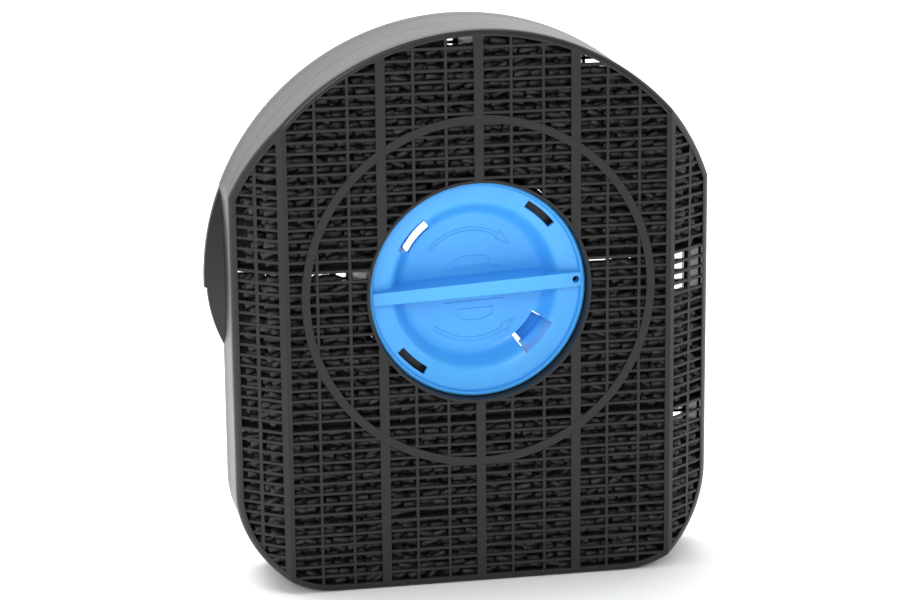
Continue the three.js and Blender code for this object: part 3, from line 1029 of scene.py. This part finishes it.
def inside(x, z, margin):
    """Whether a pellet's middle is clear of the well and the wall by a margin, and more at its ends."""
    if hypot(x, z) < WELL_OUT + GAP + margin or abs(x) >= half_width(z, INSIDE + margin + 1.1):
        return False
    return outline_bottom(x, INSIDE + margin)[0].z < z < outline_top(x, INSIDE + margin)[0].z


# %% Laying the pellets
def lay(bm, layer, x, depth, z, mesh):
    """Adds a turned copy of a pellet, and gives its faces one random shade."""
    turn = Euler((rng.uniform(0, 6.3), rng.gauss(0, 0.30), rng.gauss(0, 0.16)))
    before = len(bm.faces)
    copy = mesh.copy()
    copy.transform(Matrix.Translation((x, depth, z)) @ turn.to_matrix().to_4x4())
    bm.from_mesh(copy)
    bpy.data.meshes.remove(copy)
    bm.faces.ensure_lookup_table()
    shade = rng.betavariate(2, 2.6)
    for index in range(before, len(bm.faces)):
        bm.faces[index][layer] = shade


def rows(tier, column, depth_of, row_pitch, start):
    """Pellets end to end in level rows at a depth function's place, and a last row under the ceiling."""
    low, high = TIER_EDGES[tier], TIER_EDGES[tier + 1]
    left, right = COLUMN_EDGES[column] + WALL_T / 2, COLUMN_EDGES[column + 1] - WALL_T / 2
    lowest = low + WALL_T / 2 + 1.7
    heights = [low + start + row_pitch * row for row in range(int((high - low) / row_pitch) + 1)] + [None]
    for z in heights:
        x = left - rng.uniform(0, 3)
        while x < right:
            mesh, length = rng.choice(PELLETS)
            half = length / 2
            x += half
            at_x = min(max(x, left + half * 0.8), right - half * 0.8)
            depth = depth_of(at_x) + rng.uniform(-0.7, 0.7)
            highest = ceiling(tier, at_x, depth) - PELLET_R
            at_z = highest - rng.uniform(0, 0.5) if z is None else z + rng.uniform(-0.7, 0.7)
            if inside(at_x, at_z, 1.9) and lowest < at_z <= highest:
                yield at_x, depth, at_z, mesh
            x += half + rng.uniform(-0.2, 0.9)


def bed(tier, column):
    """One compartment's charcoal: two sheets of pellets in front, one at the back, and the core."""
    name = f"{TIERS[tier]}_{COLUMNS[column]}"
    bm = bmesh.new()
    layer = bm.faces.layers.float.new("pellet_shade")
    sheets = [
        (lambda x: BED_FRONT + 2.0 + front_depth(x), 3.5, 0.6),
        (lambda x: BED_FRONT + 4.8 + front_depth(x), 3.6, 2.3),
        (lambda x: BED_BACK - 2.1, 3.6, 1.2),
    ]
    for depth_of, pitch, start in sheets:
        for x, depth, z, mesh in list(rows(tier, column, depth_of, pitch, start)):
            lay(bm, layer, x, depth, z, mesh)
    pellets = len(bm.faces)
    core(bm, tier, COLUMN_EDGES[column], COLUMN_EDGES[column + 1])
    made = bpy.data.meshes.new("pellets_" + name)
    bm.transform(PLACE)
    bm.to_mesh(made)
    bm.free()
    made.materials.append(CHARCOAL)
    piece = bpy.data.objects.new("pellets_" + name, made)
    bpy.context.scene.collection.objects.link(piece)
    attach(piece, "case")
    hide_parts("carbon_" + name)
    return pellets


# %% The dark core of a compartment
CORE_STEP = 2.8
CORE_HOLE = WELL_OUT + 1
SHORTEST = 3


def core(bm, tier, left, right):
    """Thin slices side by side, each as high as the charcoal there, so that the core follows every curve."""
    low, high = TIER_EDGES[tier] + WALL_T / 2, TIER_EDGES[tier + 1]
    x = left + WALL_T / 2
    while x < right - WALL_T:
        width = min(CORE_STEP, right - WALL_T / 2 - x)
        middle = x + width / 2
        outer = x + width if abs(x + width) > abs(x) else x
        if abs(outer) < HALF_W - INSIDE - 0.2:
            bottom = max(low, outline_bottom(outer, INSIDE + 0.2)[0].z)
            top = min(high, outline_top(outer, INSIDE + 0.2)[0].z)
            spans = [(bottom, top)]
            nearest = min(abs(x), abs(x + width))
            if nearest < CORE_HOLE:
                reach = sqrt(CORE_HOLE**2 - nearest**2)
                spans = [(bottom, min(top, -reach)), (max(bottom, reach), top)]
            for z0, z1 in spans:
                if z1 - z0 > SHORTEST:
                    slope(bm, tier, middle, width + 0.02, z0, z1)
        x += width


def slope(bm, tier, x, width, z0, z1):
    """One slice of the core, with its top edges brought down to the charcoal's surface."""
    start = BED_FRONT + 5 + front_depth(abs(x) + width / 2)
    verts = block(bm, (x - width / 2, x + width / 2), (start, BED_BACK - 3.2), (z0, z1))
    for vert in verts:
        if vert.co.z > (z0 + z1) / 2:
            surface = ceiling(tier, x, vert.co.y) - 0.6 + rng.uniform(-0.5, 0.3)
            vert.co.z = max(z0 + 0.1, min(vert.co.z, surface))


total = sum(bed(tier, column) for tier in range(len(TIERS)) for column in range(len(COLUMNS)))
print("the pellets have", total, "faces in all")

# %% [markdown]
# ## Floor
#
# The case stands on a plain pale floor, large enough to reach past the view from every side.

# %% Floor
FLOOR_SIZE = 14  # metres from the middle to an edge


def floor_material():
    made, shader, at = new_material("pale floor", IOR=1.3)
    cloud = at.noise(3, 3)
    stops = [(0.2, (0.84, 0.84, 0.84)), (0.8, (0.88, 0.88, 0.88))]
    colour = at.node("ShaderNodeValToRGB", {0: cloud}, stops=stops)
    feed(shader, Base_Color=colour, Roughness=cloud * 0.1 + 0.75)
    return made


bm = bmesh.new()
bmesh.ops.create_grid(bm, x_segments=1, y_segments=1, size=FLOOR_SIZE)
sheet = bpy.data.meshes.new("floor")
bm.to_mesh(sheet)
bm.free()
sheet.materials.append(floor_material())
floor = bpy.data.objects.new("floor", sheet)
bpy.context.scene.collection.objects.link(floor)
